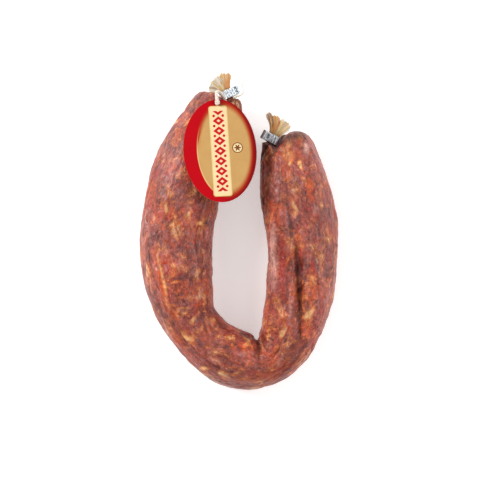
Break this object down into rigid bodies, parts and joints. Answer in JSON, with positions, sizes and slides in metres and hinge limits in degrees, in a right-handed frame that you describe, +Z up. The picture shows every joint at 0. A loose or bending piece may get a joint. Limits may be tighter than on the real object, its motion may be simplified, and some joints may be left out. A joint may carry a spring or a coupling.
{
  "type": "cured sausage",
  "caption": "Whole cured sausage in natural casing, bent into a long U, its ends closed by crimped metal clips, with a blank oval tag on a string.",
  "frame": {"origin": "middle of the footprint, on the surface that the sausage lies on", "axes": "+Z up, +Y along the arms of the U towards its closed ends, +X from the left arm, which has the tag, to the right arm"},
  "size_m": [0.1104, 0.176, 0.0405],
  "materials": {
    "cured_meat_in_casing": "satin",
    "clip_metal": "satin",
    "dry_casing": "satin",
    "tag_card": "satin",
    "tag_string": "matte"
  },
  "bodies": {
    "root": {"sausage_body": "cured_meat_in_casing", "left_clip": "clip_metal", "right_clip": "clip_metal", "left_casing_tail": "dry_casing", "right_casing_tail": "dry_casing", "tag": "tag_card", "tag_string": "tag_string"}
  },
  "joints": []
}
